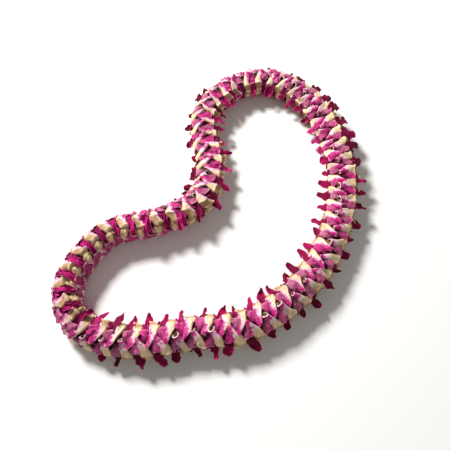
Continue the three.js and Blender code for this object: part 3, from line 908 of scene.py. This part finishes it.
def laySepal(bloom, side, start):
    spec = crownSepal
    mesh = masterSepal.data.copy()
    x, y, z = readPoints(mesh).T
    share = y / (spec['drawnLength'] * mm)
    place, forward, left, roll = (value[0] for value in alongThread([start + spec['along'] * mm]))
    # A sepal that would stand straight up or down is laid over the blooms instead
    facing = side * math.radians(spec['backAngle']) + roll
    laid = np.clip((abs(math.cos(facing)) - spec['laidFrom']) / (spec['laidBy'] - spec['laidFrom']), 0, 1)
    laid = laid * laid * (3 - 2 * laid)
    wide, longShare, lean, twist, sway, droop, taper, valley, frillWaves = (
        vary(bloom, trait, spec[trait]) for trait in spec['drawn'])
    curled = max(spec['curlBelow'] - wide, 0) * spec['curlMore']
    twist = math.radians(twist) * (1 - laid)
    lift = 0
    for sideThere, first, last, wideThere, longThere, twistThere, liftThere in spec['stretches']:
        if side == sideThere and first <= bloom // 2 <= last:
            wide, longShare = max(wide, spec['stretchWidth']) * wideThere, longShare * longThere
            twist, lift = twist * twistThere, liftThere
    wide *= 1 - spec['laidNarrow'] * laid
    # Inside a bend the sepals are short, so that they don't meet across it
    before, after = (alongThread([start + step * pitch / 2])[1][0] for step in (-1, 1))
    bend = np.cross(before, after)[2] / (pitch / mm)
    towards = bend * math.sin(facing)
    reach = min(longShare, spec['bendShare'] / towards / spec['reach'] if towards > 0 else math.inf)
    knots = np.array([(radius * math.sin(math.radians(turn)), radius * math.cos(math.radians(turn)))
                      for turn, radius in spec['spine']])
    knots = knots[0] + (knots - knots[0]) * reach
    shares = np.linspace(0, 1, len(knots) * spec['curveSteps'])
    curve = inBetween(knots, len(shares))

    def spine(where):
        out, high = np.interp(where, shares, curve[:, 0]), np.interp(where, shares, curve[:, 1])
        high = high - droop * where * where + lift * np.sin(where * math.pi)
        along = spec['laidSlip'] * laid - lean * where + sway * np.sin(where * math.pi)
        radius, turn = np.hypot(out, high), np.arctan2(out, high)
        radius = radius + (spec['laidRadius'] - radius) * laid * np.clip(where / spec['laidWithin'], 0, 1)
        level = side * math.pi / 2 - (side * turn + roll)
        turn = turn + side * level * spec['settle'] * (1 - laid) * where
        laidTurn = np.radians(np.interp(where, (0, 1), spec['laidTurns']))
        turn = turn + (laidTurn - turn) * laid
        return turnedPlace(place, forward, left, roll, along, side * turn, radius)

    step = spec['slopeStep']
    middle = spine(share)
    run = spine(np.clip(share + step, 0, 1)) - spine(np.clip(share - step, 0, 1))
    run /= np.linalg.norm(run, axis=1, keepdims=True)
    across = forward - run * (run @ forward)[:, None]
    across /= np.linalg.norm(across, axis=1, keepdims=True)
    through = np.cross(run, across)
    angle = (twist * share * share)[:, None]
    across, through = (across * np.cos(angle) + through * np.sin(angle),
                       through * np.cos(angle) - across * np.sin(angle))
    aside = x / (spec['drawnHalf'] * mm)
    edge = aside ** 2
    opened = np.clip(share / spec['openedBy'], 0, 1)
    z = z + (valley * np.abs(aside) - curled * edge) * opened * mm
    waver = spec['waver'] * np.sin(share * spec['waverWaves'] + vary(bloom, 'waverPhase', anyPhase))
    wide = wide * (1 + waver) * (1 - taper * share ** 2)
    frill = (spec['frill'] + spec['laidFrill'] * laid) * mm
    waves = frill * edge * np.sin(share * frillWaves + x / mm * spec['frillSlant']
                                  + vary(bloom, 'frillPhase', anyPhase))
    flip = 1 if vary(bloom, 'flip', anyShare) > 0.5 else -1
    points = middle + across * (x * wide)[:, None] + through * ((z * flip) + waves)[:, None]
    if flip < 0:
        mesh.flip_normals()
    writePoints(mesh, pressOnTable(points))
    # Painted shade at the root of the sepal
    paintDepthShade(mesh, 1 - share * spec['paintedShadeFade'])
    return mesh


bloomVariety = {
    'turn': (-4, 4),
    'swell': (0.965, 1.03),
    'slide': (-0.7, 0.7),
    'heldTo': 9,  # mm from the thread, where the petals come loose
    'looseOver': 4,
    'ripple': 0.5,
    'rippleTurns': (2.1, 3.3),
    'rippleAlong': 0.35,
    # soft folds and small creases: waves along the thread and round it
    'crumple': 1.15,
    'foldWaves': ((0.42, 0.3), (0.5, -0.36)),
    'foldMean': 0.4,
    'crease': 0.45,
    'creaseWaves': ((1.1, 0.8), (0.9, -1.15)),
    'slipShare': 0.5,
    'slipWaves': (0.55, 2),
    'swayTurn': 0.03,
    'swayWave': 0.6,
    # how many mouths are open and narrow, in the outer and the inner row
    'mouths': ((0.24, 0.4), (0.08, 0.22)),
    'rolledShut': 0.72,
    # below this radius in mm the petals are painted in shade, darker over the span
    'paintedShadeBelow': 14.9,
    'paintedShadeSpan': 3.6,
    'flush': (-0.07, 0.07),
    'flushRolled': 0.16,
    'smoothBelow': 38,
}


# Points given across the thread and over it, at some distances along it
def onThread(distance, across, height):
    place, forward, left, roll = alongThread(distance)
    cosine, sine = np.cos(roll), np.sin(roll)
    return (place + left * (across * cosine + height * sine)[:, None]
            + up * (height * cosine - across * sine)[:, None])


def layBloom(bloom, side, start):
    spec = bloomVariety
    openShare, narrowShare = spec['mouths'][0 if side > 0 else 1]
    draw = vary(bloom, 'mouth', anyShare)
    if abs(math.sin(alongThread([start])[3][0])) > spec['rolledShut']:
        draw = 1
    kind = 'open' if draw < openShare else 'narrow' if draw < openShare + narrowShare else 'pinched'
    mesh = masterBlooms[kind].data.copy()
    x, y, z = readPoints(mesh).T / mm
    radius, turn = np.hypot(y, z), np.arctan2(y, z)
    phase = [vary(bloom, 'phase%d' % number, anyPhase) for number in range(1, 6)]
    held = spec['heldTo']
    loose = np.clip((radius - held) / spec['looseOver'], 0, 1)
    slow, fast = spec['rippleTurns']
    x = x + spec['ripple'] * np.sin(turn * slow + phase[0]) + vary(bloom, 'slide', spec['slide'])
    radius = radius + loose * spec['ripple'] * np.sin(turn * fast + x * spec['rippleAlong'] + phase[1])
    radius = held + (radius - held) * vary(bloom, 'swell', spec['swell'])
    run = turn * wrapRadius

    def crossedWaves(waves, first, second):
        (a, b), (c, d) = waves
        return np.sin(a * x + b * run + phase[first]) * np.sin(c * x + d * run + phase[second])

    folds = np.abs(crossedWaves(spec['foldWaves'], 3, 4)) - spec['foldMean']
    creases = crossedWaves(spec['creaseWaves'], 2, 0)
    radius = radius + loose * (spec['crumple'] * folds + spec['crease'] * creases)
    slipWave, slipPhases = spec['slipWaves']
    x = x + loose * spec['crumple'] * spec['slipShare'] * np.sin(run * slipWave + phase[0] * slipPhases)
    turn = turn + np.radians(vary(bloom, 'turn', spec['turn']))
    turn = turn + spec['swayTurn'] * np.sin(x * spec['swayWave'] + phase[2])
    points = onThread(start + x * mm, side * radius * np.sin(turn) * mm, radius * np.cos(turn) * mm)
    if side < 0:
        mesh.flip_normals()
    writePoints(mesh, pressOnTable(points))
    # Painted shade, darker the nearer a point lies to the thread
    paintDepthShade(mesh, (spec['paintedShadeBelow'] - radius) / spec['paintedShadeSpan'])
    return mesh


def layHeart(start):
    mesh = masterHeart.data.copy()
    x, y, z = readPoints(mesh).T
    writePoints(mesh, onThread(start + x, y, z))
    writeUv(mesh, np.arctan2(y, z) / (2 * math.pi) + 0.5, x / pitch)
    # The heart is painted in shade all over
    paintDepthShade(mesh, np.ones(len(x)))
    return mesh


# Blooms differ at random in how far their colour has run; in the inner row it is pushed further the more the
# rope is rolled over there
def flushOf(bloom, side):
    roll = alongThread([bloom * pitch / 2])[3][0]
    rolledOver = abs(math.sin(roll)) if side < 0 else 0
    return vary(bloom, 'flush', bloomVariety['flush']) + bloomVariety['flushRolled'] * rolledOver


def tellShader(mesh, bloom, side):
    marks = {'tone': vary(bloom, 'tone', anyShare), 'row': 0.0 if side > 0 else 1.0,
             'flush': flushOf(bloom, side)}
    for name, value in marks.items():
        setAttribute(mesh, name, np.full(len(mesh.vertices), value))


def addObject(name, data):
    added = bpy.data.objects.new(name, data)
    bpy.context.scene.collection.objects.link(added)
    return added


for index in range(loop['pairCount']):
    pairName = 'bloom_pair_%02d' % (index + 1)
    laid = [addObject('heart', layHeart(index * pitch))]
    tellShader(laid[0].data, 2 * index, 1)
    for row, side in enumerate((1, -1)):
        bloom = 2 * index + row
        start = index * pitch + loop['shoulderAlong'] * mm + row * pitch / 2
        for mesh in (layBloom(bloom, side, start), laySepal(bloom, side, start)):
            tellShader(mesh, bloom, side)
            laid.append(addObject('petals', mesh))
    pair = joinPieces('blooms_%02d' % (index + 1), laid)
    bpy.ops.object.shade_smooth_by_angle(angle=math.radians(bloomVariety['smoothBelow']))
    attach(pair, 'root')
    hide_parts(pairName)
for master in (*masterBlooms.values(), masterSepal, masterHeart):
    bpy.data.objects.remove(master)
print('blooms laid along', round(loopLength / mm), 'mm of thread')

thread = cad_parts['thread']
thread.data.materials.clear()
thread.data.materials.append(threadSkin)

# Floor, light and camera
studio = {
    'floor': paint(244, 243, 240),
    'floorRoughness': 0.9,
    'floorSize': 6.0,
    'sky': (1.0, 0.97, 0.93),
    'skyStrength': 0.22,
    'keyPlace': (-0.75, 0.85, 1.05),
    'keySize': 0.4,
    'keyPower': 41,
    'fillPlace': (0.7, -0.9, 1.1),
    'fillSize': 1.2,
    'fillPower': 2,
    'cameraPlace': (0.00756, -0.22064, 0.4294),
    'cameraTilt': 24,
    'lens': 34.4,
}

bpy.ops.object.select_all(action='DESELECT')
bpy.ops.mesh.primitive_plane_add(size=studio['floorSize'])
floor = startPiece('floor')
floorSkin, floorShader = newMaterial('paleFloor')
floorShader.inputs['Base Color'].default_value = studio['floor']
floorShader.inputs['Roughness'].default_value = studio['floorRoughness']
floor.data.materials.append(floorSkin)


def addSoftbox(name, place, size, power):
    lamp = bpy.data.lights.new(name, 'AREA')
    lamp.shape, lamp.size, lamp.energy = 'DISK', size, power
    softbox = addObject(name, lamp)
    softbox.location = place
    softbox.rotation_euler = (-Vector(place)).to_track_quat('-Z', 'Y').to_euler()


addSoftbox('keyLight', studio['keyPlace'], studio['keySize'], studio['keyPower'])
addSoftbox('fillLight', studio['fillPlace'], studio['fillSize'], studio['fillPower'])
world = bpy.data.worlds.new('paleRoom')
world.use_nodes = True
sky = world.node_tree.nodes['Background'].inputs
sky['Color'].default_value = studio['sky'] + (1,)
sky['Strength'].default_value = studio['skyStrength']
bpy.context.scene.world = world
bpy.context.scene.view_settings.view_transform = 'Standard'

lens = bpy.data.cameras.new('camera')
lens.lens = studio['lens']
camera = addObject('camera', lens)
camera.location = studio['cameraPlace']
camera.rotation_euler = (math.radians(studio['cameraTilt']), 0, 0)
bpy.context.scene.camera = camera
